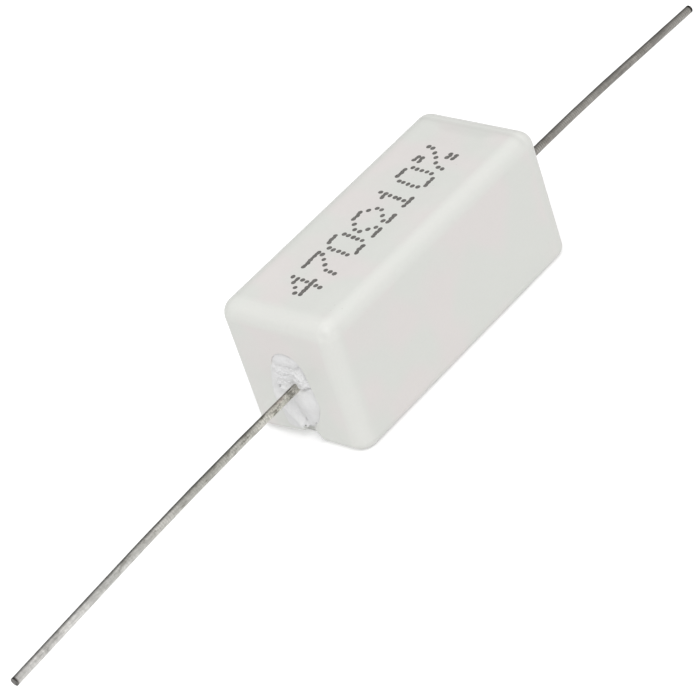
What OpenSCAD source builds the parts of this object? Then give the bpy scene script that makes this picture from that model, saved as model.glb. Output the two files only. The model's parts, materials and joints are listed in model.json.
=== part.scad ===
// Axial power resistor: a wirewound element potted with cement in an open-bottomed ceramic case.
// Millimetres. The origin is the centre of the case's flat bottom, X runs along the leads, Z is up.

/* [Case] */
// Length of the ceramic case along the leads
case_length = 22; // [20:0.5:30]
// Width of the ceramic case
case_width = 9.2; // [8.6:0.2:12]
// Height of the ceramic case
case_height = 9.7; // [9.2:0.1:12]
// Rounding of the top and upright edges
edge_radius = 1.1; // [0.6:0.1:1.4]
// Rounding of the bottom rim
rim_radius = 0.7; // [0.3:0.1:1]
// Thickness of the two long walls
side_wall = 1.3; // [1:0.1:1.5]
// Thickness of the two end walls
end_wall = 1.5; // [1.2:0.1:1.8]
// Thickness of the roof
roof_thickness = 1.3; // [1:0.1:1.6]
// Rounding inside the cavity
cavity_radius = 0.6; // [0.3:0.1:0.9]

/* [End slots] */
// Radius of the slot's upper arch
arch_radius = 1.32; // [1.2:0.02:1.7]
// Distance from the centre of the wide lower part to the arch's centre
arch_rise = 2.28; // [2:0.02:2.5]
// Angle by which the slot leans to the right, in degrees
arch_lean = 3.8; // [0:0.2:6]
// Radius of the slot's wide lower part
bulb_radius = 1.82; // [1.6:0.02:2.1]
// Depth of the wide part's centre below the lead
bulb_drop = 0.7; // [0.4:0.05:0.8]
// Width of the notch from the wide part down to the rim
notch_width = 1.3; // [1:0.1:2]
// Sideways offset of the notch from the middle of the end
notch_offset = 0.35; // [0:0.05:0.6]
// Angle below level at which the wide part turns into the flare down to the notch
flare_angle = 35; // [30:1:45]
// Depth below the lead at which the flare meets the notch
flare_drop = 3; // [2.8:0.1:3.2]
// Length of the worn chip along the left end's rim, beside the notch
chip_length = 4.1; // [2:0.1:4.2]
// Height of the chip at the notch
chip_height = 0.8; // [0.5:0.05:0.9]
// Length over which the chip's far end runs out
chip_runout = 0.7; // [0.3:0.1:1]
// Height of the chip where it starts to run out
chip_low = 0.42; // [0.2:0.02:0.5]
// Depth of the chip into the end wall
chip_depth = 0.9; // [0.3:0.1:1.1]

/* [Cement] */
// Depth of the cement below the face of each end wall
cement_recess = 0.42; // [0.1:0.02:0.6]
// Height of the notch that the cement leaves empty
notch_empty = 0.9; // [0.6:0.1:1.3]

/* [Leads] */
// Diameter of the lead wire
lead_diameter = 0.56; // [0.4:0.02:0.9]
// Height of the leads above the bottom
lead_height = 4.1; // [4:0.1:5]
// Number of slight bends in each lead
lead_bends = 3; // [1:1:5]
// Straight stretch from the cement to the left lead's first bend
left_first_stretch = 5.7; // [1:0.1:8]
// Distance between the left lead's bends
left_bend_spacing = 4.7; // [2:0.1:7]
// Droop that the bends give the left lead, in degrees
left_droop_angle = 2.8; // [0.6:0.1:4.5]
// Length of the left lead's straight end
left_end_length = 12; // [2:0.1:30]
// Straight stretch from the cement to the right lead's first bend
right_first_stretch = 5.2; // [1:0.1:8]
// Distance between the right lead's bends
right_bend_spacing = 3.7; // [2:0.1:7]
// Droop that the bends give the right lead, in degrees
right_droop_angle = 2.9; // [0.6:0.1:4.5]
// Length of the right lead's straight end
right_end_length = 10.1; // [2:0.1:30]
// Length of the weld's cone at the cap
weld_length = 0.4; // [0.2:0.1:0.8]
// Thickening of the lead at the weld, added to its radius
weld_spread = 0.2; // [0.1:0.05:0.4]

/* [Element] */
// Distance from each end of the case to the ceramic core rod
core_inset = 3.7; // [3.4:0.1:5]
// Diameter of the ceramic core rod
core_diameter = 3.4; // [2.8:0.1:3.8]
// Sheet thickness of the end caps
cap_sheet = 0.3; // [0.2:0.05:0.4]
// Depth of the end caps over the rod
cap_depth = 2.6; // [2:0.1:3]
// Rounding of the end caps' closed edge
cap_corner = 0.3; // [0.1:0.05:0.45]
// Diameter of the resistance wire
wire_diameter = 0.26; // [0.16:0.02:0.3]
// Distance from one turn to the next
turn_pitch = 0.52; // [0.45:0.01:0.7]
// Turns of each tail that lie on the cap
tail_turns = 0.75; // [0.25:0.05:0.9]

/* [Hidden] */
$fn = 96;

// How far a cutting shape reaches past the face that it cuts
through = 1;
// Room between a wire facet and the round surface under it
wire_room = 0.01;
// Room between the winding and the cement around it
winding_room = 0.03;
// How far the rounding of a bend stands out of the straight wire on each side of it
bend_swell = 0.004;

ceramic_white = "#dedcd8";
cement_white = "#d9d8d3";
rod_ivory = "#e6dfcf";
cap_steel = "#a9abad";
lead_tin = "#9d978f";
wire_nickel = "#7c7368";

rim = min(rim_radius, edge_radius);
end_face = case_length / 2;
cavity_end = end_face - end_wall;
cavity_width = case_width - 2 * side_wall;
cavity_height = case_height - roof_thickness;
cement_face = end_face - cement_recess;

bulb_centre = [0, -bulb_drop];
arch_centre = bulb_centre + arch_rise * [sin(arch_lean), cos(arch_lean)];
slot_taper = asin((bulb_radius - arch_radius) / arch_rise);

core_length = case_length - 2 * core_inset;
lead_radius = lead_diameter / 2;
core_radius = core_diameter / 2;
wire_radius = wire_diameter / 2;
cap_radius = core_radius + cap_sheet;
cap_face = core_length / 2 + cap_sheet;
cap_mouth = cap_face - cap_depth;

// The winding is one helix, whose radius climbs from the rod to the caps in one turn before each cap
turn_steps = 20;
wire_sides = 6;
chord_sag = cap_radius * (1 - cos(180 / turn_steps));
coil_radius = core_radius + wire_radius + chord_sag + wire_room;
tail_radius = cap_radius + wire_radius + chord_sag + wire_room;
climb_end = cap_mouth - wire_radius - wire_room;
climb_start = climb_end - turn_pitch;
tail_end = cap_mouth + tail_turns * turn_pitch;
wire_rings = ceil(2 * tail_end / turn_pitch * turn_steps);

// What a rounded corner takes off a square one, with the arc's centre at the origin
module corner_waste(r) {
    difference() {
        square(r + through);
        circle(r);
    }
}

// Upright section on the ground, its top corners rounded r and its bottom corners r_low
module rounded_section(width, height, r, r_low) {
    difference() {
        translate([-width / 2, 0]) square([width, height]);
        for (flip = [0, 1]) mirror([flip, 0, 0]) {
            translate([width / 2 - r, height - r]) corner_waste(r);
            translate([width / 2 - r_low, r_low]) mirror([0, 1, 0]) corner_waste(r_low);
        }
    }
}

// Block on the ground, its upright and top edges rounded r and its bottom edges r_low
module rounded_block(length, width, height, r, r_low) {
    rotate([90, 0, 90])
        linear_extrude(length - 2 * r, center = true) rounded_section(width, height, r, r_low);
    rotate([90, 0, 0])
        linear_extrude(width - 2 * r, center = true) rounded_section(length, height, r, r_low);
    for (sx = [-1, 1], sy = [-1, 1])
        translate([sx * (length / 2 - r), sy * (width / 2 - r), 0])
            rotate_extrude() intersection() {
                rounded_section(2 * r, height, r, r_low);
                square([r, height]);
            }
}

// Direction from a circle's centre to where a side of the slot touches the circle
function touch(side) = let (rise = slot_taper - side * arch_lean) [side * cos(rise), sin(rise)];

// Slot outline with the lead at the origin: the arch, the wide part, the sides that touch both,
// and the flare from the wide part down to the notch
module slot_outline() {
    translate(arch_centre) circle(arch_radius);
    translate(bulb_centre) circle(bulb_radius);
    polygon([
        for (side = [-1, 1]) bulb_centre + bulb_radius * touch(side),
        for (side = [1, -1]) arch_centre + arch_radius * touch(side),
    ]);
    polygon([
        for (side = [-1, 1]) [notch_offset + side * notch_width / 2, -flare_drop],
        for (side = [1, -1])
            bulb_centre + bulb_radius * [side * cos(flare_angle), -sin(flare_angle)],
    ]);
}

// Notch outline, from a height above the bottom up into the wide part, with the lead at the origin
module notch_outline(height) {
    translate([notch_offset - notch_width / 2, height - lead_height])
        square([notch_width, lead_height - bulb_drop - height]);
}

// Chip outline: a long low wedge in the rim that is highest at the notch and runs out at its far end,
// with the lead at the origin
module chip_outline() {
    translate([notch_offset - notch_width / 2, -lead_height])
        polygon([
            [-chip_length, 0], [-chip_length, -through], [0, -through],
            [0, chip_height], [chip_runout - chip_length, chip_low],
        ]);
}

// Extrudes an outline drawn around the lead, as seen from that end, inwards from the given place
module on_end(side, place, depth) {
    translate([side * (place - depth / 2), 0, lead_height])
        rotate([90, 0, side * 90]) linear_extrude(depth, center = true) children();
}

// Rod around the lead's line between two places
module along(from, to, radius) {
    translate([from, 0, lead_height]) rotate([0, 90, 0]) cylinder(h = to - from, r = radius);
}

// What the case holds inside its walls, from below the bottom up to the roof
module cavity_form() {
    translate([0, 0, -through])
        rounded_block(2 * cavity_end, cavity_width, cavity_height + through,
                      cavity_radius, cavity_radius);
}

module ceramic_case() {
    color(ceramic_white)
        difference() {
            rounded_block(case_length, case_width, case_height, edge_radius, rim);
            cavity_form();
            for (side = [-1, 1])
                on_end(side, end_face + through, end_wall + 2 * through) {
                    slot_outline();
                    notch_outline(-through);
                }
            on_end(-1, end_face + through, chip_depth + through) chip_outline();
        }
}

module cement_fill() {
    color(cement_white)
        difference() {
            union() {
                cavity_form();
                for (side = [-1, 1])
                    on_end(side, cement_face, cement_face - cavity_end + through) {
                        slot_outline();
                        notch_outline(notch_empty);
                    }
            }
            translate([-case_length / 2, -case_width / 2, -2 * through])
                cube([case_length, case_width, 2 * through]);
            winding_form();
            for (turn = [0, 180]) rotate([0, 0, turn]) {
                cap_form();
                lead_root(through);
            }
        }
}

module core_rod() {
    color(rod_ivory) along(-core_length / 2, core_length / 2, core_radius);
}

// Outer form of the right end cap, rounded where the sheet turns over the rod's end
module cap_form() {
    translate([cap_mouth, 0, lead_height]) rotate([0, 90, 0])
        rotate_extrude() difference() {
            square([cap_radius, cap_depth]);
            translate([cap_radius - cap_corner, cap_depth - cap_corner]) corner_waste(cap_corner);
        }
}

module end_cap() {
    color(cap_steel)
        difference() {
            cap_form();
            along(cap_mouth - through, core_length / 2, core_radius);
        }
}

module end_cap_right() {
    end_cap();
}

module end_cap_left() {
    rotate([0, 0, 180]) end_cap();
}

// Room for the winding: close around the coil, and wider around each climb and tail
module winding_form() {
    side_room = wire_radius + winding_room;
    along(-climb_start, climb_start, coil_radius + side_room);
    for (turn = [0, 180]) rotate([0, 0, turn])
        along(climb_start - side_room, tail_end + side_room, tail_radius + side_room);
}

// How far the climb has come at a place along the rod, from 0 on the rod to 1 on the cap
function climbed(place) = min(1, max(0, (abs(place) - climb_start) / (climb_end - climb_start)));
// Distance of the wire's middle from the rod's middle, with an easy start and end to the climb
function winding_radius(place) = coil_radius
    + (tail_radius - coil_radius) * climbed(place) ^ 2 * (3 - 2 * climbed(place));

// The winding: rings of the wire's section along a helix, sewn into one closed skin
module resistance_wire() {
    points = [
        for (ring = [0 : wire_rings])
            let (place = tail_end * (2 * ring / wire_rings - 1), turned = 360 * place / turn_pitch)
            for (side = [0 : wire_sides - 1])
                let (around = 360 * side / wire_sides,
                     reach = winding_radius(place) + wire_radius * sin(around))
                [place + wire_radius * cos(around), reach * cos(turned), reach * sin(turned)]
    ];
    skin = [
        for (ring = [0 : wire_rings - 1], side = [0 : wire_sides - 1])
            let (next = (side + 1) % wire_sides, low = ring * wire_sides, high = low + wire_sides)
            [low + side, low + next, high + next, high + side]
    ];
    first_end = [for (side = [wire_sides - 1 : -1 : 0]) side];
    last_end = [for (side = [0 : wire_sides - 1]) wire_rings * wire_sides + side];
    color(wire_nickel)
        translate([0, 0, lead_height]) polyhedron(points, concat(skin, [first_end, last_end]));
}

// The straight root of the right lead, from the weld's cone at the cap out to the first bend
module lead_root(first_stretch) {
    translate([cap_face, 0, lead_height]) rotate([0, 90, 0])
        cylinder(h = weld_length, r1 = lead_radius + weld_spread, r2 = lead_radius);
    along(cap_face, cement_face + first_stretch, lead_radius);
}

// The rest of a lead from a bend at the origin: the bend, the straight after it, and so on
module bent_run(bends, turn, spacing, end_length) {
    straight = bends > 1 ? spacing : end_length;
    sphere(lead_radius + bend_swell);
    rotate([0, turn, 0]) {
        rotate([0, 90, 0]) cylinder(h = straight, r = lead_radius);
        if (bends > 1)
            translate([straight, 0, 0]) bent_run(bends - 1, turn, spacing, end_length);
    }
}

// A lead drawn on the right: its root, the bends that share out its droop, and its straight end
module lead(first_stretch, spacing, droop_angle, end_length) {
    color(lead_tin) {
        lead_root(first_stretch);
        translate([cement_face + first_stretch, 0, lead_height])
            bent_run(lead_bends, droop_angle / lead_bends, spacing, end_length);
    }
}

module lead_right() {
    lead(right_first_stretch, right_bend_spacing, right_droop_angle, right_end_length);
}

module lead_left() {
    rotate([0, 0, 180])
        lead(left_first_stretch, left_bend_spacing, left_droop_angle, left_end_length);
}

ceramic_case();
cement_fill();
core_rod();
resistance_wire();
end_cap_left();
end_cap_right();
lead_left();
lead_right();
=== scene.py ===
# %% [markdown]
# # Dressing a cement power resistor
#
# The solid model already has every piece of the resistor: the white ceramic case, the cement that
# fills it, the winding inside, and a wire lead at each end. This script gives those pieces their
# finish and adds what is too fine for the solid model: the crumbly cement in the two end slots and
# the value printed in dots on the top. Lengths are in millimetres until a mesh is made.

# %% Load the solid model
import json
import math

import bpy
import numpy as np
from mathutils import Matrix, Vector


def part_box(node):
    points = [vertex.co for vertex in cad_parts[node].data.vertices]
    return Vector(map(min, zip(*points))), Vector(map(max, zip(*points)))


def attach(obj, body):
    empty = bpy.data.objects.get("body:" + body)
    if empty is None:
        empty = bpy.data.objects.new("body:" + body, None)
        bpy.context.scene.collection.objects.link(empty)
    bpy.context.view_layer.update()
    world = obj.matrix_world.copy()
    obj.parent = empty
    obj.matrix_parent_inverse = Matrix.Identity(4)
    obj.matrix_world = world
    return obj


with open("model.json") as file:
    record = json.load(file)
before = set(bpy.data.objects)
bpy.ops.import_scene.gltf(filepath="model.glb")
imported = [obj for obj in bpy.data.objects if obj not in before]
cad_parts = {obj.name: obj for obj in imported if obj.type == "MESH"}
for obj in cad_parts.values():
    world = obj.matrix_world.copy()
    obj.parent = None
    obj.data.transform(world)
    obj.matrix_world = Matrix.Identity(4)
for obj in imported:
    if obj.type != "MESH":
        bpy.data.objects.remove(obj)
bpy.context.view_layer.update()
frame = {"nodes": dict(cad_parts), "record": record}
nodes = frame["nodes"]
MM = 0.001

case_low, case_high = (np.array(corner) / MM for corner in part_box("ceramic_case"))
half_length, half_width, case_height = case_high
left_tip, right_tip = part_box("lead_left")[0][0] / MM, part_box("lead_right")[1][0] / MM
mounts = {mount["name"]: mount for mount in frame["record"]["mounts"]}
lead_radius = mounts["lead_left_end"]["dims"]["r_mm"]
lead_height = 4.1
print("case", (case_high - case_low).round(2), "mm, lead radius", lead_radius, "mm")

# %% [markdown]
# ## The camera
#
# A product photograph of a small part is taken from far away with a long lens, so the case hardly
# tapers towards its far end. The camera is rolled as well, so that the leads run from corner to
# corner. It could be aimed with a constraint, but then a roll is hard to set. Here it is placed by
# the point it looks at, its distance, two angles and the roll.

# %% Place the camera
aim_point = Vector((-5.662, 0.0, 3.186))
camera_distance = 206.86
camera_azimuth = math.radians(-40.306)
camera_elevation = math.radians(34.571)
camera_roll = math.radians(-19.167)
camera_lens, camera_sensor = 170.39, 36.0
nearest_seen = 5.0


def add_object(name, data):
    """Puts new data into the scene as an object at the origin."""
    made = bpy.data.objects.new(name, data)
    bpy.context.scene.collection.objects.link(made)
    return made


def looking_direction(azimuth, elevation):
    """The unit vector of a look that turns by azimuth from +Y towards -X and dips by elevation."""
    level = math.cos(elevation)
    return Vector((-math.sin(azimuth) * level, math.cos(azimuth) * level, -math.sin(elevation)))


def place_camera():
    """A camera behind the aim point, with its sideways axis turned by the roll about the look."""
    look = looking_direction(camera_azimuth, camera_elevation)
    side = look.cross(Vector((0, 0, 1))).normalized()
    top = side.cross(look)
    right = math.cos(camera_roll) * side + math.sin(camera_roll) * top
    up = math.cos(camera_roll) * top - math.sin(camera_roll) * side
    camera = add_object("camera", bpy.data.cameras.new("camera"))
    turn = Matrix((right, up, -look)).transposed().to_4x4()
    camera.matrix_world = Matrix.Translation((aim_point - look * camera_distance) * MM) @ turn
    camera.data.lens = camera_lens
    camera.data.sensor_width = camera_sensor
    camera.data.clip_start = nearest_seen * MM
    bpy.context.scene.camera = camera
    return camera


camera = place_camera()
bpy.context.scene.view_settings.view_transform = "Standard"
print("camera at", [round(value / MM, 1) for value in camera.matrix_world.translation], "mm")

# %% [markdown]
# ## Shader maths
#
# Procedural finishes are sums and products of noise. They could be wired up node by node, which is
# long and hides the sum. A small class lets them be written as plain expressions instead: an
# operator on two values adds the Math node that does it. Every node comes from one function, which
# takes the node's type, its settings and what goes on its sockets.


# %% Values and nodes
class Value:
    """One number or vector output of a node. Operators add Math nodes to the same tree."""

    def __init__(self, tree, socket):
        self.tree = tree
        self.socket = socket

    def __add__(self, other):
        return compute("ADD", self, other)

    def __sub__(self, other):
        return compute("SUBTRACT", self, other)

    def __rsub__(self, other):
        return compute("SUBTRACT", other, self)

    def __mul__(self, other):
        return compute("MULTIPLY", self, other)

    def __truediv__(self, other):
        return compute("DIVIDE", self, other)

    def __rtruediv__(self, other):
        return compute("DIVIDE", other, self)

    __radd__ = __add__
    __rmul__ = __mul__

    def above(self, threshold, soft):
        """0 below the threshold, rising evenly to 1 over the soft width above it."""
        return smallest(largest((self - threshold) / soft, 0.0), 1.0)

    def close_to(self, centre, reach):
        """1 at the centre, falling evenly to 0 at the reach on each side of it."""
        return largest(1.0 - absolute(self - centre) / reach, 0.0)


def connect(tree, term, socket):
    """Puts a number or colour on a socket, or links a value to it."""
    if isinstance(term, Value):
        tree.links.new(term.socket, socket)
    else:
        socket.default_value = term


def add_node(tree, kind, inputs, out=0, stops=None, **settings):
    """Adds a node: its settings and ramp stops first, then the values or links of its sockets."""
    node = tree.nodes.new("ShaderNode" + kind)
    for name, value in settings.items():
        setattr(node, name, value)
    if stops:
        ramp = node.color_ramp
        while len(ramp.elements) < len(stops):
            ramp.elements.new(1.0)
        for element, (position, colour) in zip(ramp.elements, stops):
            element.position, element.color = position, (*colour, 1.0)
    for socket, term in inputs.items():
        connect(tree, term, node.inputs[socket])
    return Value(tree, node.outputs[out]) if len(node.outputs) else None


def compute(operation, *terms):
    """A Math node over numbers and values, in the tree of the first value among them."""
    tree = next(term.tree for term in terms if isinstance(term, Value))
    return add_node(tree, "Math", dict(enumerate(terms)), operation=operation)


def largest(first, second):
    return compute("MAXIMUM", first, second)


def smallest(first, second):
    return compute("MINIMUM", first, second)


def absolute(value):
    return compute("ABSOLUTE", value)


print("operators:", [name for name in vars(Value) if name.startswith("__r")], "and their plain forms")

# %% [markdown]
# ## A finish
#
# Every finish here is one material with one main shader. Its patterns could lie on an unwrapping of
# each piece. Read from the place on the piece, they need no seams, and a grain keeps its real size
# everywhere. The class holds that place in millimetres, with the few patterns that all the finishes
# are made of.


# %% A finish and its patterns
class Finish:
    """A material with its main shader. Object coordinates come in millimetres as self.place."""

    def __init__(self, name, **constants):
        self.material = bpy.data.materials.new(name)
        self.material.use_nodes = True
        self.tree = self.material.node_tree
        self.shader = self.tree.nodes["Principled BSDF"]
        self.drive(**constants)
        self.place = self.scaled(self.node("TexCoord", {}, out="Object"), 1 / MM)

    def node(self, kind, inputs, **settings):
        """Adds a node to this finish."""
        return add_node(self.tree, kind, inputs, **settings)

    def axes(self):
        """The place along the leads, across the case and up."""
        return [self.node("SeparateXYZ", {0: self.place}, out=axis) for axis in range(3)]

    def noise(self, scale, detail=2.0, roughness=0.5):
        """Smooth noise about 0.5. The scale is features for each millimetre, or one for each axis."""
        where = self.place
        if isinstance(scale, tuple):
            where = self.node("VectorMath", {0: where, 1: scale}, operation="MULTIPLY")
            scale = 1.0
        inputs = {"Vector": where, "Scale": scale, "Detail": detail, "Roughness": roughness}
        return self.node("TexNoise", inputs)

    def spots(self, scale):
        """Distance to the nearest of a scatter of points."""
        return self.node("TexVoronoi", {"Vector": self.place, "Scale": scale})

    def mix(self, factor, first, second):
        """The first colour at factor 0 and the second at 1; each is three numbers or a value."""
        pair = [(*c, 1.0) if isinstance(c, tuple) else c for c in (first, second)]
        inputs = {0: factor, 6: pair[0], 7: pair[1]}
        return self.node("Mix", inputs, out=2, data_type="RGBA")

    def scaled(self, colour, factor):
        """A colour or place times a number or value."""
        return self.node("VectorMath", {0: colour, 3: factor}, operation="SCALE")

    def relief(self, height, distance, strength=1.0, under=None):
        """A bump of the given height in millimetres, over another bump if one is given."""
        inputs = {"Height": height, "Distance": distance * MM, "Strength": strength}
        if under:
            inputs["Normal"] = under
        return self.node("Bump", inputs)

    def drive(self, **sockets):
        """Puts numbers or values on the main shader; underscores stand for spaces in the names."""
        for socket, term in sockets.items():
            connect(self.tree, term, self.shader.inputs[socket.replace("_", " ")])
        return self.material


def wear(node, finish):
    """Gives a node of the solid model its finish."""
    mesh = nodes[node].data
    mesh.materials.clear()
    mesh.materials.append(finish)
    print(node, "wears", finish.name, "of", len(finish.node_tree.nodes), "nodes")


print("parts of a finish:", [name for name in vars(Finish) if not name.startswith("_")])

# %% [markdown]
# ## The ceramic case
#
# The case is pressed from white clay and fired. Its faces are not pure white: broad patches are a
# little pinker or greener, and a fine grain breaks the light. A painted image could hold all that,
# but it would blur from close by, so two tones are mixed by a broad noise instead, a fine noise
# lightens and darkens them, and a few dark grains sit in the surface. The rounded edges are always
# of the greener tone.

# %% Tones of the ceramic
case_rose = (0.742, 0.711, 0.694)
case_green = (0.712, 0.722, 0.688)
case_grain = (0.50, 0.48, 0.44)
end_reach, edge_reach, edge_soft, edge_green = 1.6, 1.3, 0.5, 0.85
grain_size, grain_share = 0.045, 0.35


def edge_share(along, across, up):
    """1 on the rounded edges, where two faces are near: the middle one of three nearnesses."""
    near_end = absolute(along).above(half_length - end_reach, edge_soft)
    near_side = absolute(across).above(half_width - edge_reach, edge_soft)
    near_top = up.above(case_height - edge_reach, edge_soft)
    return largest(smallest(near_end, near_side), smallest(largest(near_end, near_side), near_top))


def ceramic_tone(finish, shade):
    """Rose and green clay by patches, times the shade, with a chosen few of the dark grains."""
    patches = finish.noise(0.22, detail=1.0).above(0.42, 0.16)
    greener = largest(patches, edge_share(*finish.axes()) * edge_green)
    tone = finish.scaled(finish.mix(greener, case_rose, case_green), shade)
    grains = 1.0 - finish.spots(1.6).above(grain_size, 0.03)
    chosen = finish.noise(0.9, detail=0.0).above(0.60, 0.04)
    return finish.mix(grains * chosen * grain_share, tone, case_grain)


print("ceramic from", case_rose, "to", case_green)

# %% [markdown]
# ## Painted light and knocks on the case
#
# The printed top is painted a little lighter than the sides, as the light would make it, and its flat is
# painted lighter still towards its sides and near end, but darker right at its back edge. At its far end
# the rounded rim has a painted highlight, with a painted shade line where the rounding starts, and the top
# is darker before it. A painted highlight band crosses the near end of the top, the far end and the near
# end's right side are painted lighter, and the near top corner has a few small knocks under a wide painted
# shade. Each of these could be a mask painted by hand. They are so plain that bands and balls of a given
# reach do it, and each one changes the brightness by a few hundredths.

# %% Brightness over the case
rim_width = 1.0
# Where the far rim's painted highlight starts, where its painted shade line lies and where the darker band
# before it starts, from the rim's start.
rim_highlight_from, shade_line_at, darker_band_from = -0.14, -0.32, -1.3
# Where the painted highlight band lies across the near end of the top, and its reach.
near_highlight_at, near_highlight_reach = 9.9, 0.5
# Painted highlight and shade on the case, and the darker band before the far rim: how much each changes the
# brightness.
flat_lighter, near_lighter, side_lighter, side_darker, near_highlight_lighter = 0.030, 0.010, 0.014, 0.022, 0.045
rim_highlight_lighter, shade_line_darker, before_rim_darker, end_highlight_lighter = 0.015, 0.035, 0.052, 0.030
fine_contrast = 0.05
# Each mark: its centre, its reach and its change of the brightness. The small ones are knocks, and the last
# and widest is a painted shade that dims the near top corner.
knocks_and_corner_shade = [
    ((-10.78, -1.20, 9.26), 0.16, -0.030), ((-10.68, -3.99, 9.20), 0.34, -0.045),
    ((-10.46, -4.27, 9.15), 0.22, 0.025), ((-10.87, -3.92, 8.92), 0.24, 0.030),
    ((-9.66, -4.50, 9.06), 0.42, -0.022), ((-10.48, -3.79, 9.49), 0.30, -0.015),
    ((-10.65, -4.30, 9.35), 0.75, -0.060),
]


def painted_light_on_top(back, across):
    """How much lighter the flat of the top is painted, as the light would make it: more to its sides and
    near end, most in the painted highlight band, less at its back edge.
    """
    right = 0.0 - across
    sides = (across.above(0.5, 2.5) + right.above(1.8, 1.0)) * side_lighter
    sides = sides - across.above(3.0, 0.4) * side_darker
    ends = back.above(4.5, 2.5) * near_lighter + back.close_to(near_highlight_at, near_highlight_reach) * near_highlight_lighter
    return sides + ends + flat_lighter


def painted_light_on_far_rim(past_start, across):
    """A painted highlight on the far rim, with a painted shade line and a darker band before it, less of it
    to the sides.
    """
    rim_highlight_mask = past_start.above(rim_highlight_from, 0.10)
    narrower = absolute(across + 0.2).above(1.6, 1.0) * 0.5
    darker_band = (past_start - narrower).above(darker_band_from, 0.5) * (1.0 - rim_highlight_mask)
    # The painted shade line where the rounding starts.
    line = past_start.close_to(shade_line_at, 0.20)
    return rim_highlight_mask * rim_highlight_lighter - line * shade_line_darker - darker_band * before_rim_darker


def grain_knocks_and_painted_light(finish, fine):
    """The brightness: grain, painted light on the top, the far rim and both ends, and the knocks and the
    corner's painted shade, each a ball that fades outwards.
    """
    along, across, up = finish.axes()
    back, right = 0.0 - along, 0.0 - across
    past_start = along - (half_length - rim_width)
    on_top, on_flat = up.above(case_height - 0.9, 0.6), up.above(case_height - 0.5, 0.4)
    shade = (fine - 0.5) * fine_contrast + 1.0
    shade = shade + painted_light_on_top(back, across) * on_flat + painted_light_on_far_rim(past_start, across) * on_top
    # Painted highlight: the near end's right side and the far end are painted lighter.
    near_right_highlight = back.above(9.6, 0.6) * right.above(2.4, 1.2) * (1.0 - on_top)
    shade = shade + (past_start.above(0.55, 0.20) + near_right_highlight) * end_highlight_lighter
    # Small knocks, and a wide painted shade over the near top corner.
    for centre, reach, change in knocks_and_corner_shade:
        away = finish.node("VectorMath", {0: finish.place, 1: centre}, out=1, operation="DISTANCE")
        shade = shade + away.close_to(0.0, reach) * change
    return shade


def ceramic_finish():
    """The tone times the brightness, over slow waves and a fine grain."""
    finish = Finish("fired_white_ceramic", IOR=1.5)
    fine = finish.noise(5.0, detail=4.0, roughness=0.65)
    tone = ceramic_tone(finish, grain_knocks_and_painted_light(finish, fine))
    wavy = finish.relief(finish.noise(0.55, detail=1.0), 0.05, 0.6)
    grainy = finish.relief(fine, 0.006, 0.8, under=wavy)
    return finish.drive(Base_Color=tone, Roughness=fine * 0.18 + 0.34, Normal=grainy)


wear("ceramic_case", ceramic_finish())

# %% [markdown]
# ## The tinned leads
#
# The leads are tinned copper-plated steel, drawn through a die: fine scratches run along the wire and faint
# ribs across it. The tin is bright at the longer lead's free end, darker towards the case, lighter again
# right by it, and dim on all of the shorter lead, and it is mottled with darker spots. The shorter lead is
# more matt as well, with stronger ribs. One grey metal would look like new wire, so the finish follows the
# place along the wire: a ramp holds that tint, and the spots are noise drawn out along it. A painted shade
# darkens one side of the longer lead near the case. Its cut end shows mottled bare metal, and the shorter
# lead's a dark burr.

# %% Tones of the tin
tin_bright = (0.66, 0.648, 0.62)
tin_dull = (0.50, 0.49, 0.462)
tin_spot = (0.12, 0.112, 0.088)
tin_rose = (0.46, 0.38, 0.35)
# Painted shade on one side of the longer lead near the case.
tin_painted_shade = (0.06, 0.054, 0.042)
tin_cut, tin_cut_dark = (0.15, 0.143, 0.136), (0.06, 0.056, 0.052)
tin_burr = (0.035, 0.033, 0.030)
rib_pitch = 0.185
rib_strength, streak_strength = 0.10, 0.4
bright_length, cut_length, burr_length = 8.0, 0.08, 0.22
# Which side of the longer lead gets painted shade, and the most of it.
shade_across, shade_up, most_painted_shade = 0.67, 0.742, 0.85
# Each stop: its place along the leads and the tint there.
tint_along_leads = [
    (-34.0, (0.97, 0.97, 0.98)), (-29.0, (0.87, 0.88, 0.88)), (-25.0, (0.86, 0.86, 0.85)),
    (-20.0, (0.70, 0.705, 0.68)), (-15.5, (0.74, 0.745, 0.72)), (-12.0, (1.28, 1.27, 1.22)),
    (0.0, (0.49, 0.48, 0.47)),
]


def tone_along_leads(finish, from_tip, shorter, near_case, drawn, blotch, cloud):
    """Tin streaked along the wire, times the tint of its place, with dark spots and a rosy cast."""
    span = right_tip - left_tip
    stops = [((x - left_tip) / span, colour) for x, colour in tint_along_leads]
    tint_here = finish.node("ValToRGB", {0: from_tip / span}, stops=stops)
    tone = finish.mix(drawn.above(0.36, 0.3), tin_dull, tin_bright)
    tone = finish.node("VectorMath", {0: tone, 1: tint_here}, operation="MULTIPLY")
    tone = finish.scaled(tone, cloud * 0.7 + 0.65)
    tarnished = 1.0 - from_tip.above(bright_length, 3.0) * (1.0 - shorter)
    spot_share = 0.55 - tarnished * 0.25 + near_case * 0.20
    tone = finish.mix(blotch.above(0.54, 0.10) * spot_share, tone, tin_spot)
    rosy = finish.noise((0.6, 1.4, 1.4), detail=1.0).above(0.58, 0.08)
    return finish.mix(rosy * near_case * 0.5, tone, tin_rose)


print("tin from", tin_dull, "to", tin_bright, "over", round(right_tip - left_tip, 1), "mm")


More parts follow.
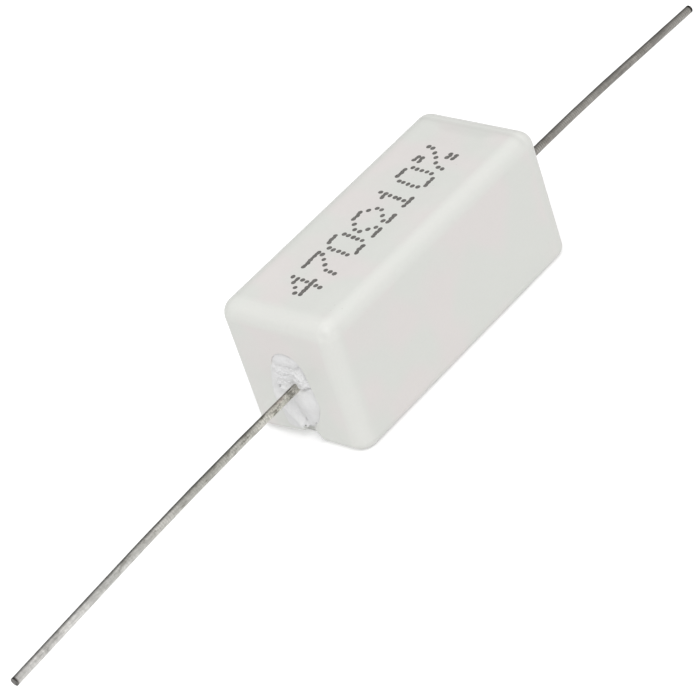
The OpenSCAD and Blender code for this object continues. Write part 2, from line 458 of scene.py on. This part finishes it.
# %% Lead finish
def lead_finish():
    """The tone along the leads, times mottle and ribs, under a painted shade on one side and the marks of
    the cuts.
    """
    finish = Finish("tarnished_tin", Metallic=1.0)
    along, across, up = finish.axes()
    from_tip, shorter = along - left_tip, along.above(0.0, 1.0)
    near_case = 1.0 - (absolute(along) - half_length).above(0.0, 6.0)
    drawn = finish.noise((0.8, 9.0, 9.0), detail=3.0, roughness=0.6)
    blotch = finish.noise((1.1, 3.2, 3.2), detail=4.0, roughness=0.65)
    cloud = finish.noise((0.45, 1.2, 1.2))
    ribs = finish.noise((4.5, 0.7, 0.7), detail=1.0)
    tone = tone_along_leads(finish, from_tip, shorter, near_case, drawn, blotch, cloud)

    wave = compute("SINE", along * (2 * math.pi / rib_pitch) + drawn * 4.0)
    ribbed_here = cloud.above(0.40, 0.2) * (from_tip.above(bright_length, 3.0) * 0.7 + 0.3)
    mottle = (finish.noise(9.0) - 0.5) * (near_case * 0.9 + 0.5) + (ribs - 0.5) * streak_strength
    tone = finish.scaled(tone, mottle + wave * ribbed_here * (shorter + 1.0) * rib_strength + 1.0)

    # Painted shade: the side of the longer lead that faces up and towards +Y is darkened near the case.
    shaded_side = (across * shade_across + (up - lead_height) * shade_up).above(0.15, 0.07)
    painted_shade = shaded_side * near_case.above(0.15, 0.5) * (1.0 - shorter) * (blotch * 1.6 - 0.2)
    tone = finish.mix(smallest(painted_shade, most_painted_shade), tone, tin_painted_shade)

    bare = finish.mix(finish.noise(5.0).above(0.42, 0.16), tin_cut_dark, tin_cut)
    tone = finish.mix(1.0 - from_tip.above(cut_length, 0.12), tone, bare)
    tone = finish.mix(along.above(right_tip - burr_length, 0.05), tone, tin_burr)

    ribbed = finish.relief(ribs, 0.03, 0.6, under=finish.relief(drawn, 0.010, 0.8))
    matt = blotch * 0.3 + 0.22 + shorter * 0.14
    return finish.drive(Base_Color=tone, Roughness=matt, Normal=ribbed)


tin = lead_finish()
for lead in ("lead_left", "lead_right"):
    wear(lead, tin)

# %% [markdown]
# ## The pieces inside
#
# Nobody sees the winding in the finished part, so one plain grey would do. But the model comes
# apart, so the rod, the caps and the resistance wire get their own finishes, each of one noise and
# two tones: unglazed ceramic, pressed steel and a dull alloy.

# %% Inner finishes
rod_tones = (0.72, 0.66, 0.53), (0.80, 0.75, 0.64)
cap_tones = (0.48, 0.48, 0.49), (0.63, 0.63, 0.62)
wire_tones = (0.24, 0.21, 0.18), (0.44, 0.39, 0.33)


def rod_finish():
    finish = Finish("unglazed_rod_ceramic", Roughness=0.85)
    fine = finish.noise(4.0, detail=3.0)
    bumpy = finish.relief(fine, 0.02)
    return finish.drive(Base_Color=finish.mix(fine, *rod_tones), Normal=bumpy)


def cap_finish():
    finish = Finish("pressed_steel", Metallic=1.0)
    drawn = finish.noise((0.6, 5.0, 5.0), detail=3.0)
    return finish.drive(Base_Color=finish.mix(drawn, *cap_tones), Roughness=drawn * 0.25 + 0.22)


def wire_finish():
    finish = Finish("resistance_alloy", Metallic=1.0)
    dull = finish.noise(2.5)
    return finish.drive(Base_Color=finish.mix(dull, *wire_tones), Roughness=dull * 0.2 + 0.3)


wear("core_rod", rod_finish())
wear("resistance_wire", wire_finish())
cap_steel = cap_finish()
for cap in ("end_cap_left", "end_cap_right"):
    wear(cap, cap_steel)

# %% [markdown]
# ## The light
#
# The photograph has soft light from all round and a little more from beside the camera: the faces
# are almost equally bright, and the rounded edges between them, which face the camera's side, are
# the brightest part. A tent of lamps could do that. An even world and one wide sun near the camera
# do it with two numbers. A dark flag beyond the part, which only reflections see, gives the round
# leads their dark edge.

# %% World and sun
flag_direction = Vector((0.50, 0.85, 0.15)).normalized()
flag_edge, flag_soft = 0.25, 0.65


def direct_rays(tree):
    """1 for a ray from the camera, off a shiny surface or through glass, and the shiny part alone."""
    kinds = ("Is Camera Ray", "Is Glossy Ray", "Is Transmission Ray")
    seen, glossy, passing = (add_node(tree, "LightPath", {}, out=kind) for kind in kinds)
    return largest(largest(seen, glossy), passing), glossy


def even_world(level, dark_level):
    """White to direct rays, but for a dark flag in the shiny ones, and an even level to the rest."""
    world = bpy.data.worlds.new("studio")
    bpy.context.scene.world = world
    world.use_nodes = True
    tree = world.node_tree
    tree.nodes.clear()
    direction = add_node(tree, "TexCoord", {}, out="Generated")
    pair = {0: direction, 1: flag_direction}
    flag = add_node(tree, "VectorMath", pair, out=1, operation="DOT_PRODUCT").above(flag_edge, flag_soft)
    direct, glossy = direct_rays(tree)
    strength = direct * (1.0 - level) + level - glossy * flag * (1.0 - dark_level)
    background = add_node(tree, "Background", {"Color": (1.0, 1.0, 1.0, 1.0), "Strength": strength})
    add_node(tree, "OutputWorld", {"Surface": background})


def soft_sun(name, azimuth, elevation, strength, spread):
    """A sun that shines along a look, as wide as the given angle; all angles are in degrees."""
    lamp = bpy.data.lights.new(name, "SUN")
    lamp.energy = strength
    lamp.angle = math.radians(spread)
    sun = add_object(name, lamp)
    look = looking_direction(math.radians(azimuth), math.radians(elevation))
    sun.rotation_mode = "QUATERNION"
    sun.rotation_quaternion = look.to_track_quat("-Z", "Y")
    return sun


even_world(level=0.712, dark_level=0.09)
key = soft_sun("key_light", azimuth=-42.0, elevation=55.0, strength=1.18, spread=40.0)
print("lights: even world and", key.name)

# %% [markdown]
# ## The floor
#
# The part lies on a white sheet that shows nothing but its shadow. A sheet bright enough to be
# white would throw too much light on the part, so the floor is pale, and it is lifted to white only
# for the rays that see it directly or in a reflection. It keeps the part's shadow that way.

# %% Floor
floor_grey = (0.84, 0.84, 0.84, 1.0)


def pale_floor(size, depth, lift):
    """A square floor, its top a hair under the case, that glows a little for direct rays."""
    mesh = bpy.data.meshes.new("floor")
    square = [(size / 2 * x, size / 2 * y, depth) for x, y in ((-1, -1), (1, -1), (1, 1), (-1, 1))]
    mesh.from_pydata([tuple(c * MM for c in point) for point in square], [], [(0, 1, 2, 3)])
    material = bpy.data.materials.new("pale_floor")
    material.use_nodes = True
    tree = material.node_tree
    tree.nodes.clear()
    diffuse = add_node(tree, "BsdfDiffuse", {"Color": floor_grey})
    glow = add_node(tree, "Emission", {"Strength": lift})
    lifted = add_node(tree, "AddShader", {0: diffuse, 1: glow})
    chosen = add_node(tree, "MixShader", {0: direct_rays(tree)[0], 1: diffuse, 2: lifted})
    add_node(tree, "OutputMaterial", {"Surface": chosen})
    mesh.materials.append(material)
    print("floor", size, "mm wide,", -depth, "mm under the case")
    return add_object("floor", mesh)


pale_floor(size=4000.0, depth=-0.02, lift=0.34)

# %% [markdown]
# ## Meshes from grids
#
# The cement's skin is a grid of points worked out as whole arrays. It could be an open sheet with a
# thickness added, but a grid that closes both ways, round and round, has no rim at all, so it is a
# closed skin like a ring's. One helper turns such a grid into a mesh, and another makes the noise
# that roughens it.


# %% Grid and noise helpers
def ring_mesh(name, points, attributes):
    """A closed skin from points[i, j], where both i and j run round and meet their start again."""
    rows, columns = points.shape[:2]
    index = np.arange(rows * columns).reshape(rows, columns)
    following = np.roll(index, -1, axis=0)
    corners = [index, following, np.roll(following, -1, axis=1), np.roll(index, -1, axis=1)]
    quads = np.stack(corners, axis=-1).reshape(-1, 4)
    mesh = bpy.data.meshes.new(name)
    mesh.vertices.add(rows * columns)
    mesh.vertices.foreach_set("co", (points * MM).astype(np.float32).ravel())
    mesh.loops.add(quads.size)
    mesh.loops.foreach_set("vertex_index", quads.ravel().astype(np.int32))
    mesh.polygons.add(len(quads))
    mesh.polygons.foreach_set("loop_start", np.arange(0, quads.size, 4, dtype=np.int32))
    mesh.polygons.foreach_set("use_smooth", np.ones(len(quads), dtype=bool))
    mesh.update(calc_edges=True)
    for label, values in attributes.items():
        layer = mesh.attributes.new(label, "FLOAT", "POINT")
        layer.data.foreach_set("value", values.astype(np.float32).ravel())
    return add_object(name, mesh)


def ease(value):
    """0 below 0, 1 above 1, and a smooth step between them."""
    value = np.clip(value, 0, 1)
    return value * value * (3 - 2 * value)


def bell(distance, width):
    """1 at distance 0, falling smoothly to almost 0 at twice the width."""
    return np.exp(-((distance / width) ** 2))


def lattice_noise(across, up, cell, seed):
    """Random numbers on a lattice of the given cell, eased between its points; about -1 to 1."""
    period = 64
    table = np.random.default_rng(seed).uniform(-1.0, 1.0, (period, period))
    u, v = across / cell + period / 2, up / cell + period / 2
    i, j = np.floor(u).astype(int), np.floor(v).astype(int)
    s, t = ease(u - i), ease(v - j)
    i, j = i % period, j % period
    next_i, next_j = (i + 1) % period, (j + 1) % period
    low = table[i, j] * (1 - s) + table[next_i, j] * s
    high = table[i, next_j] * (1 - s) + table[next_i, next_j] * s
    return low * (1 - t) + high * t


def rough_noise(across, up, cell, seed, octaves=4):
    """Lattice noise summed over octaves, each half as large and half as high as the one before."""
    return sum(lattice_noise(across, up, cell / 2**k, seed + k) / 2**k for k in range(octaves))


trial = rough_noise(*np.meshgrid(np.linspace(-2, 2, 50), np.linspace(-2, 2, 50)), cell=0.6, seed=3)
print("rough noise runs from", trial.min().round(2), "to", trial.max().round(2))

# %% [markdown]
# ## The end slots
#
# Each end wall has a keyhole slot through which its lead leaves: an arch over a wider round bulb,
# straight sides that touch both, a flare below, and a notch down to the bottom rim. The cement's
# skin has to meet that wall. Its rim could be read off the solid, but the slot is so simple that
# its outline is worked out again: the distance from the lead to the wall in each direction. All
# places in a slot are seen from its own end, across and up from its lead.

# %% Slot outline
arch_radius, arch_rise, arch_lean = 1.32, 2.28, math.radians(3.8)
bulb_radius, bulb_drop = 1.82, 0.7
notch_left, notch_right = -0.3, 1.0
flare_angle, flare_drop = math.radians(35), 3.0
bulb_centre = np.array([0, -bulb_drop])
arch_centre = bulb_centre + arch_rise * np.array([math.sin(arch_lean), math.cos(arch_lean)])
notch_outline = np.array([
    (notch_left, -3.27), (-0.12, -3.10), (0.08, -2.90), (0.35, -2.84), (0.60, -2.80), (0.70, -2.98),
    (0.92, -3.36), (0.985, -3.34), (notch_right, -2.9),
])
print("arch centre", arch_centre.round(2), "bulb centre", bulb_centre, "from the lead")


# %% Reach of a ray in each form
def leaving_circle(direction, centre, radius):
    """How far a ray from the origin goes before it leaves a circle, 0 if it misses it."""
    along = centre @ direction
    inside = radius**2 - centre @ centre + along**2
    return np.where(inside > 0, along + np.sqrt(np.maximum(inside, 0)), 0)


def leaving_polygon(direction, corners):
    """How far a ray from the origin goes before it leaves a convex polygon, 0 if it misses it."""
    enter = np.zeros(direction.shape[1])
    leave = np.full(direction.shape[1], np.inf)
    for start, end in zip(corners, np.roll(corners, -1, axis=0)):
        edge = end - start
        normal = np.array([edge[1], -edge[0]])
        speed = normal @ direction
        reach = (normal @ start) / np.where(np.abs(speed) < 1e-9, 1e-9, speed)
        leave = np.where(speed > 0, np.minimum(leave, reach), leave)
        enter = np.where(speed < 0, np.maximum(enter, reach), enter)
    return np.where(enter < leave, leave, 0)


def outline_reach(angle, outline):
    """Distance from the lead to a line through the given points, 0 in directions where it has none."""
    turn = np.arctan2(outline[:, 1], outline[:, 0]) % (2 * np.pi)
    far = np.hypot(outline[:, 0], outline[:, 1])
    return np.interp(angle, turn, far, left=0, right=0)


def slot_reach(angle):
    """Distance from the lead to the slot's wall in each direction.

    It is the farthest that a ray gets in any of the slot's four forms, which overlap: arch, bulb,
    the web between the lines that touch both, and flare. The cement's ragged lower end stands in
    for the wall where the slot is open below.
    """
    direction = np.array([np.cos(angle), np.sin(angle)])
    taper = math.asin((bulb_radius - arch_radius) / arch_rise)
    tilts = [(side, taper - side * arch_lean) for side in (-1, 1)]
    left, right = (np.array([side * math.cos(tilt), math.sin(tilt)]) for side, tilt in tilts)
    web = np.array([
        bulb_centre + bulb_radius * left, bulb_centre + bulb_radius * right,
        arch_centre + arch_radius * right, arch_centre + arch_radius * left,
    ])
    top = bulb_radius * np.array([math.cos(flare_angle), -math.sin(flare_angle)])
    flare = np.array([
        (notch_left, -flare_drop), (notch_right, -flare_drop),
        bulb_centre + top, bulb_centre + top * (-1, 1),
    ])
    slot = np.max([
        leaving_circle(direction, arch_centre, arch_radius),
        leaving_circle(direction, bulb_centre, bulb_radius),
        leaving_polygon(direction, web),
        leaving_polygon(direction, flare),
    ], axis=0)
    over_notch = outline_reach(angle, notch_outline)
    return np.where(over_notch > 0, over_notch, slot)


reach_up, reach_right = slot_reach(np.array([math.pi / 2, 0.0])).round(2)
print("slot reaches", reach_up, "mm over the lead and", reach_right, "mm beside it")

# %% [markdown]
# ## The form of the cement
#
# The cement was pressed in by hand and never smoothed. A slot has a crumbly upper part with two
# lumps, a step at the right of the lead, and below the step a smooth lobe with a valley beside it.
# Sculpting could give that form, but only by hand. Here the face is a height over the slot, so each
# lump and crease is one line in a list and can be moved on its own. A lump is a bell over a turned
# ellipse, and a crease or ridge is a bell across a line. The small crumbs are scattered by chance.

# %% Lumps, lines and crumbs
seen_shift = (0.13, 0.12)
resting_height, deepest = -0.22, -0.40
# Each lump: its rise, its centre, its two sizes and its turn.
lumps = [
    (0.20, (0.10, 2.28), (0.90, 0.46), 0.05), (0.20, (0.98, 1.02), (0.48, 0.62), -0.4),
    (0.17, (-0.95, 1.2), (0.60, 1.05), -0.3), (0.15, (-0.80, 0.0), (0.42, 0.33), 0.0),
    (0.03, (-0.62, 2.25), (0.30, 0.35), 0.0), (-0.03, (0.35, 2.35), (0.22, 0.16), 0.0),
    (-0.16, (0.12, 0.22), (0.34, 0.30), 0.8), (-0.20, (0.24, 0.62), (0.13, 0.11), 0.0),
]
lobe_lumps = [(0.25, (0.72, -0.85), (0.75, 1.15), 0.10), (0.05, (0.28, -0.42), (0.30, 0.30), 0.0)]
step_line = [(0.31, 0.05), (0.66, 0.07), (1.03, 0.24), (1.32, 0.43), (1.60, 0.44)]
ridge_line = [(-1.37, -1.82), (-0.97, -2.39), (-0.41, -3.05)]
# Each crease or ridge: its rise, its width and its points.
creases = [
    (-0.11, 0.09, [(0.10, 1.80), (0.62, 1.74), (0.87, 1.80), (1.05, 2.02)]),
    (-0.04, 0.09, [(-0.96, 1.76), (-0.43, 1.80), (0.10, 1.80)]),
    (-0.24, 0.06, [(1.02, 1.97), (1.22, 1.75), (1.37, 1.50), (1.44, 1.15)]),
    (0.06, 0.10, [(-0.25, 1.50), (0.05, 1.46), (0.32, 1.36), (0.70, 1.33)]),
    (-0.05, 0.10, [(-1.05, 1.25), (-0.55, 0.95), (-0.15, 1.05)]),
    (-0.20, 0.07, step_line),
    (-0.20, 0.26, [(-0.76, -1.05), (-0.49, -1.58), (-0.30, -2.15), (-0.12, -2.50)]),
    (0.06, 0.10, ridge_line),
    (0.05, 0.11, [(-0.95, -1.75), (-0.55, -2.35), (-0.18, -3.0)]),
    (-0.26, 0.06, [(-1.02, 0.14), (-1.15, 0.06), (-1.22, -0.16)]),
]
# Each crumb: its place across and up, and its size. The small ones have ranges for the same three.
large_crumbs = [
    (1.20, 1.62, 0.13), (0.86, 1.24, 0.15), (0.50, 0.90, 0.13), (0.35, 1.36, 0.11), (0.66, 1.34, 0.10),
    (1.30, 0.68, 0.11), (0.86, 0.42, 0.10), (1.10, 0.52, 0.09), (0.55, 0.34, 0.09), (1.05, 0.90, 0.12),
    (-0.82, -0.06, 0.20), (-0.92, 0.36, 0.10), (-0.25, 1.30, 0.10), (-0.60, 1.45, 0.09), (0.10, 1.10, 0.08),
]
small_crumbs, small_crumb_ranges = 90, ((-1.4, 1.5), (-0.3, 2.6), (0.035, 0.085))
crumb_rise, rough_rise, sharp_rise, smooth_rise, left_rise = 0.55, 0.045, 0.070, 0.010, 0.15
print(len(lumps + lobe_lumps), "lumps,", len(creases), "lines and", len(large_crumbs), "large crumbs")


# %% Height of the cement
def lump(across, up, centre, size, turn):
    """A bell of height 1 over a turned ellipse, gone at about twice its size."""
    c, s = math.cos(turn), math.sin(turn)
    u, v = across - centre[0], up - centre[1]
    return bell(c * u + s * v, size[0]) * bell(c * v - s * u, size[1])


def groove(across, up, points, width):
    """A bell across a line through the given points, by the distance from its nearest stretch."""
    nearest = np.full(across.shape, np.inf)
    for (ax, ay), (bx, by) in zip(points, points[1:]):
        dx, dy = bx - ax, by - ay
        t = np.clip(((across - ax) * dx + (up - ay) * dy) / (dx * dx + dy * dy), 0, 1)
        nearest = np.minimum(nearest, np.hypot(across - ax - t * dx, up - ay - t * dy))
    return bell(nearest, width)


def crumb_field(across, up, seed):
    """Flat-topped grains with steep edges: the large ones listed, small ones scattered by chance."""
    random = np.random.default_rng(seed)
    small = [random.uniform(low, high, small_crumbs) for low, high in small_crumb_ranges]
    field = np.zeros(across.shape)
    for a, b, size in np.concatenate([large_crumbs, np.transpose(small)]):
        squash = random.uniform(0.7, 1.3)
        away = np.hypot((across - a) * squash, up - b) / size
        field = np.maximum(field, size * ease((1.15 - away) / 0.4))
    return field


def cement_height(across, up, seed):
    """How far the cement stands out of the end wall's face, in millimetres; mostly below it.

    The lines and lumps were placed as they look from the camera's side. A point that lies deeper
    looks shifted, so all of them are read at a place shifted by that much.
    """
    across, up = across + seen_shift[0], up + seen_shift[1]
    rough = rough_noise(across, up, 0.60, seed)
    sharp_rough = np.maximum(rough_noise(across, up, 0.26, seed + 10, octaves=3), 0)
    upper = ease((up - np.interp(across, *np.transpose(step_line))) / 0.08)
    left = ease(-(across + 0.15) / 0.25) * ease((up + 0.9) / 0.8)
    crumbly = np.maximum(upper, left) * (1 - 0.5 * ease((up - 1.85) / 0.2))
    sharp = 0.6 + 0.4 * ease((across + 0.2) / 0.9)
    height = np.full(across.shape, resting_height)
    height += sum(rise * lump(across, up, *form) for rise, *form in lumps)
    height += sum(rise * lump(across, up, *form) for rise, *form in lobe_lumps) * (1 - upper)
    height += sum(rise * groove(across, up, line, width) for rise, width, line in creases)
    height += left_rise * ease(-(across + 0.60) / 0.5) * ease(-(up + 0.6) / 0.6)
    height += crumbly * crumb_rise * crumb_field(across, up, seed)
    height += crumbly * sharp * (rough_rise * rough + sharp_rise * sharp_rough)
    height += (1 - crumbly) * smooth_rise * rough
    return np.maximum(height, deepest)


print("height over the lead:", cement_height(np.zeros(3), np.array([0.5, 1.0, 1.5]), seed=3).round(2))

# %% [markdown]
# ## The skin of the cement
#
# The skin is a grid: each direction has a row of points from the lead out to the slot's wall. A
# square grid would leave a ragged edge there. At the near end the cement is also wiped out to the
# left, as a thin film over the case's face, and the row goes on to the film's edge. To the right of
# the lobe it is wiped level with the wall.

# %% Edges of the skin
into_wall, into_lead, skin_depth = 0.015, 0.02, 0.6
wall_drop, right_wall_drop = 0.02, 0.24
level_depth, lobe_groove, lead_collar = 0.003, 0.02, 0.05
film_height, film_rough, film_ridge, film_least, film_lip = 0.020, 0.012, 0.05, 0.006, 0.004
film_onset, film_fading = 0.14, 0.30
smear_outline = np.array([
    (-0.12, 2.86), (-0.45, 2.83), (-0.72, 2.66), (-0.96, 2.38), (-1.20, 1.86), (-1.52, 1.0),
    (-1.74, 0.27), (-1.90, -0.43), (-2.0, -1.1), (-1.88, -1.7), (-1.74, -2.2), (-1.66, -2.74),
    (-1.60, -3.10), (-1.35, -3.26), (-0.80, -3.29), (-0.31, -3.28),
])
lobe_edge = np.array([
    (0.62, -2.80), (0.67, -2.70), (1.00, -2.38), (1.36, -1.90), (1.60, -1.35), (1.72, -0.80), (1.80, -0.12),
])


def face_height(angle, radius, slot, rim, spread, flip, seed):
    """The skin's height at each point, and from 0 to 1 how far the point is wiped level.

    It is the cement's own height, lowered by a bell along the wall, turned level past the lobe's
    edge behind a fine groove, and turned into a film over the case. It rises round the lead.
    """
    across, up = radius * np.cos(angle), radius * np.sin(angle)
    height = cement_height(flip * across, up, seed)
    drop = wall_drop + right_wall_drop * ease(np.cos(angle) / 0.3) * ease((np.sin(angle) + 0.95) / 0.3)
    height -= (1 - spread) * drop * bell(slot - radius, 0.09)
    lobe = outline_reach(angle, lobe_edge)
    levelled = (lobe > 0) * ease((radius - lobe) / 0.06)
    height = height * (1 - levelled) - level_depth * levelled
    height -= (lobe > 0) * lobe_groove * bell(radius - lobe, 0.05)
    film = film_height + film_rough * rough_noise(across, up, 0.5, seed + 40)
    film = np.maximum(film + film_ridge * groove(across, up, ridge_line, 0.10), film_least)
    film *= 1 - ease((radius - slot) / np.maximum(rim - slot, 0.01)) ** 2
    onto = spread * ease((radius - slot + 0.35) / 0.35)
    height = height * (1 - onto) + film * onto
    height += lead_collar * bell(radius - lead_radius, 0.06)
    height[-1] = np.where(spread > 0, -film_lip, height[-1])
    return height, levelled


print("film up to", np.hypot(*smear_outline.T).max().round(2), "mm from the lead")

# %% Make the two skins
around, outward = 480, 150


def cement_face(name, side, flip, seed, smeared):
    """The cement's skin in one slot: out from the lead over the face, then round behind it.

    A point's radius runs evenly from the lead to the rim, which is the slot's wall or the film's
    edge. From there the skin goes back under the film, down the wall, and in to the lead.
    """
    angle = np.linspace(0, 2 * np.pi, around, endpoint=False)
    slot = slot_reach(angle)
    smear = outline_reach(angle, smear_outline) if smeared else np.zeros(around)
    spread = ease((smear - slot) / film_onset)
    wall, start = slot + into_wall, lead_radius - into_lead
    rim = np.maximum(wall, smear)
    radius = start + (rim - start) * np.linspace(0, 1, outward)[:, None]
    height, levelled = face_height(angle, radius, slot, rim, spread, flip, seed)
    back = np.full(around, -skin_depth)
    back_radius = np.stack([wall, wall, (wall + start) / 2, np.full(around, start)])
    back_height = np.stack([np.minimum(height[-1], -0.02) - 0.01, back, back, back])
    loop_radius, loop_height = np.concatenate([radius, back_radius]), np.concatenate([height, back_height])
    fading = np.minimum(film_fading, np.maximum(rim - slot, 0.05))
    thin = np.zeros(loop_radius.shape)
    thin[:outward] = np.maximum(spread * ease(1 - (rim - radius) / fading), levelled)
    points = np.stack([
        side * (half_length + loop_height),
        side * loop_radius * np.cos(angle),
        lead_height + loop_radius * np.sin(angle),
    ], axis=-1)
    print(name, points.shape[:2], "points, height", height.min().round(2), "to", height.max().round(2))
    return ring_mesh(name, points, {"thin": thin})


cement_faces = [
    cement_face("cement_face_left", side=-1, flip=1, seed=3, smeared=True),
    cement_face("cement_face_right", side=1, flip=-1, seed=21, smeared=False),
]

# %% [markdown]
# ## Cement finish
#
# Potting cement is whiter and rougher than the case. Fine grains and pits cover it, and the pits are a
# faint grey. Where it was wiped out thin over the case, the case shows through. That could be a second,
# see-through layer. It is simpler as a number that the mesh carries at each point, by which the finish
# turns towards the case's colour.

# %% Finish the cement
cement_dull, cement_bright = (0.764, 0.764, 0.764), (0.813, 0.813, 0.818)
cement_pit = (0.60, 0.59, 0.56)


def cement_finish():
    finish = Finish("white_potting_cement", IOR=1.45)
    fine = finish.noise(7.0, detail=5.0, roughness=0.7)
    pits = 1.0 - finish.spots(5.5).above(0.10, 0.10)
    tone = finish.mix(finish.noise(1.1).above(0.35, 0.3), cement_dull, cement_bright)
    tone = finish.mix(pits * 0.18, finish.scaled(tone, fine * 0.08 + 0.95), cement_pit)
    thin = finish.node("Attribute", {}, out=2, attribute_name="thin")
    tone = finish.mix(thin * 0.9, tone, case_green)
    grainy = finish.relief(fine, 0.03, 0.7, under=finish.relief(pits, -0.03, 0.5))
    return finish.drive(Base_Color=tone, Roughness=fine * 0.2 + 0.70, Normal=grainy)


cement = cement_finish()
wear("cement_fill", cement)
for piece in cement_faces:
    piece.data.materials.append(cement)
    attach(piece, "root")

# %% [markdown]
# ## The printed value
#
# An ink jet prints the value as round dots on a grid of seven rows, with five columns to a sign and
# seven to the ohm sign. A picture laid on the case would blur from close by, so the dots are a mesh,
# and their places are read off rows of text, which show the signs as they look. The ink runs
# together between neighbours in a row, so a stroke along the case is a line, and one across it
# falls into dots. A smaller dot half-way makes such a bridge.

# %% Signs on a grid seven dots high
signs_in_dots = {
    "4": ("...#.", "..##.", ".#.#.", "#..#.", "#####", "...#.", "...#."),
    "7": ("#####", "....#", "...#.", "..#..", ".#...", ".#...", ".#..."),
    "0": (".###.", "#...#", "#...#", "#...#", "#...#", "#...#", ".###."),
    "1": ("..#..", ".##..", "..#..", "..#..", "..#..", "..#..", ".###."),
    "%": ("##..#", "##..#", "...#.", "..#..", ".#...", "#..##", "#..##"),
    "ohm": ("..###..", ".#...#.", "#.....#", "#.....#", ".#...#.", "..#.#..", "###.###"),
}
printed_signs = ("4", "7", "0", "ohm", "1", "0", "%")
column_pitch, row_pitch, sign_gap = 0.375, 0.415, 0.67
print_start, print_low, lean_of_signs = -8.46, -1.29, 0.12
bridge_share = 0.84


def dot_places():
    """Middle and size of every dot and bridge; the signs read along +X, with their tops towards +Y."""
    places = []
    start = print_start
    for sign in printed_signs:
        rows = signs_in_dots[sign]
        for row, line in enumerate(rows):
            rise = (len(rows) - 1 - row) * row_pitch
            for column in range(len(line)):
                x = start + column * column_pitch + lean_of_signs * rise
                if line[column] == "#":
                    places.append((x, print_low + rise, 1.0))
                if line[column:column + 2] == "##":
                    places.append((x + column_pitch / 2, print_low + rise, bridge_share))
        start += (len(rows[0]) - 1) * column_pitch + sign_gap
    return np.array(places)


places = dot_places()
print("printed value:", len(places), "dots and bridges")

# %% [markdown]
# ## The drops of ink
#
# A dot is a low flat-topped drop of ink. A flat disc would be enough from far away, but it shows no
# thickness. So a drop has three rings of points that shrink towards its middle. Chance makes each
# one a little longer, wider, thicker and off its place, as the jet does.

# %% Make the drops of ink
dot_size, dot_height = 0.36, 0.008
dot_corners, dot_scatter, dot_slant = 14, 0.022, 0.3
dot_rings = [(1.0, -2.0), (0.96, 0.6), (0.72, 1.0)]
ink_dark, ink_pale = (0.125, 0.120, 0.112), (0.215, 0.208, 0.196)


def ring_faces(count):
    """Faces of every drop: quads between its rings, and one face each over its top and its foot."""
    step = np.arange(dot_corners)
    following = np.roll(step, -1)
    base = np.arange(count)[:, None] * dot_corners * len(dot_rings)
    faces = []
    for level in range(len(dot_rings) - 1):
        low, high = level * dot_corners, (level + 1) * dot_corners
        quad = np.stack([low + step, low + following, high + following, high + step], -1)
        faces += (base[:, :, None] + quad[None]).reshape(-1, 4).tolist()
    faces += (base + (len(dot_rings) - 1) * dot_corners + step).tolist()
    return faces + (base + step[::-1]).tolist()


def printed_value(places, sizes):
    """All dots as one mesh.

    A dot is an ellipse, nearly round and turned by its slant, on each of three rings: a foot inside
    the case, a shoulder and a top. A ring has a share of the dot's size and stands at a multiple of
    its thickness.
    """
    turn = np.linspace(0, 2 * np.pi, dot_corners, endpoint=False)
    random = np.random.default_rng(5)
    count = len(places)
    length = sizes * dot_size * random.uniform(0.90, 1.12, count)
    width = sizes * dot_size * random.uniform(0.88, 1.08, count)
    slant = random.normal(0, dot_slant, count)[:, None]
    centre = places + random.normal(0, dot_scatter, (count, 2))
    thick = dot_height * random.uniform(0.7, 1.3, count)[:, None]
    rings = []
    for share, rise in dot_rings:
        x = share * length[:, None] / 2 * np.cos(turn)
        y = share * width[:, None] / 2 * np.sin(turn)
        across = centre[:, :1] + x * np.cos(slant) - y * np.sin(slant)
        up = centre[:, 1:] + x * np.sin(slant) + y * np.cos(slant)
        rings.append(np.stack(np.broadcast_arrays(across, up, case_height + rise * thick), -1))
    points = np.stack(rings, axis=1).reshape(-1, 3)
    mesh = bpy.data.meshes.new("printed_value")
    mesh.from_pydata((points * MM).tolist(), [], ring_faces(count))
    mesh.update()
    return add_object("printed_value", mesh)


def ink_finish():
    finish = Finish("grey_ink")
    fine = finish.noise(9.0, detail=3.0)
    tone = finish.mix(fine.above(0.35, 0.4), ink_dark, ink_pale)
    return finish.drive(Base_Color=tone, Roughness=fine * 0.2 + 0.45)


value = printed_value(places[:, :2], places[:, 2])
value.data.materials.append(ink_finish())
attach(value, "root")
print("ink:", len(value.data.polygons), "faces")

# %% [markdown]
# The dressed part has to keep to the solid model's box, but for the thickness of the ink.
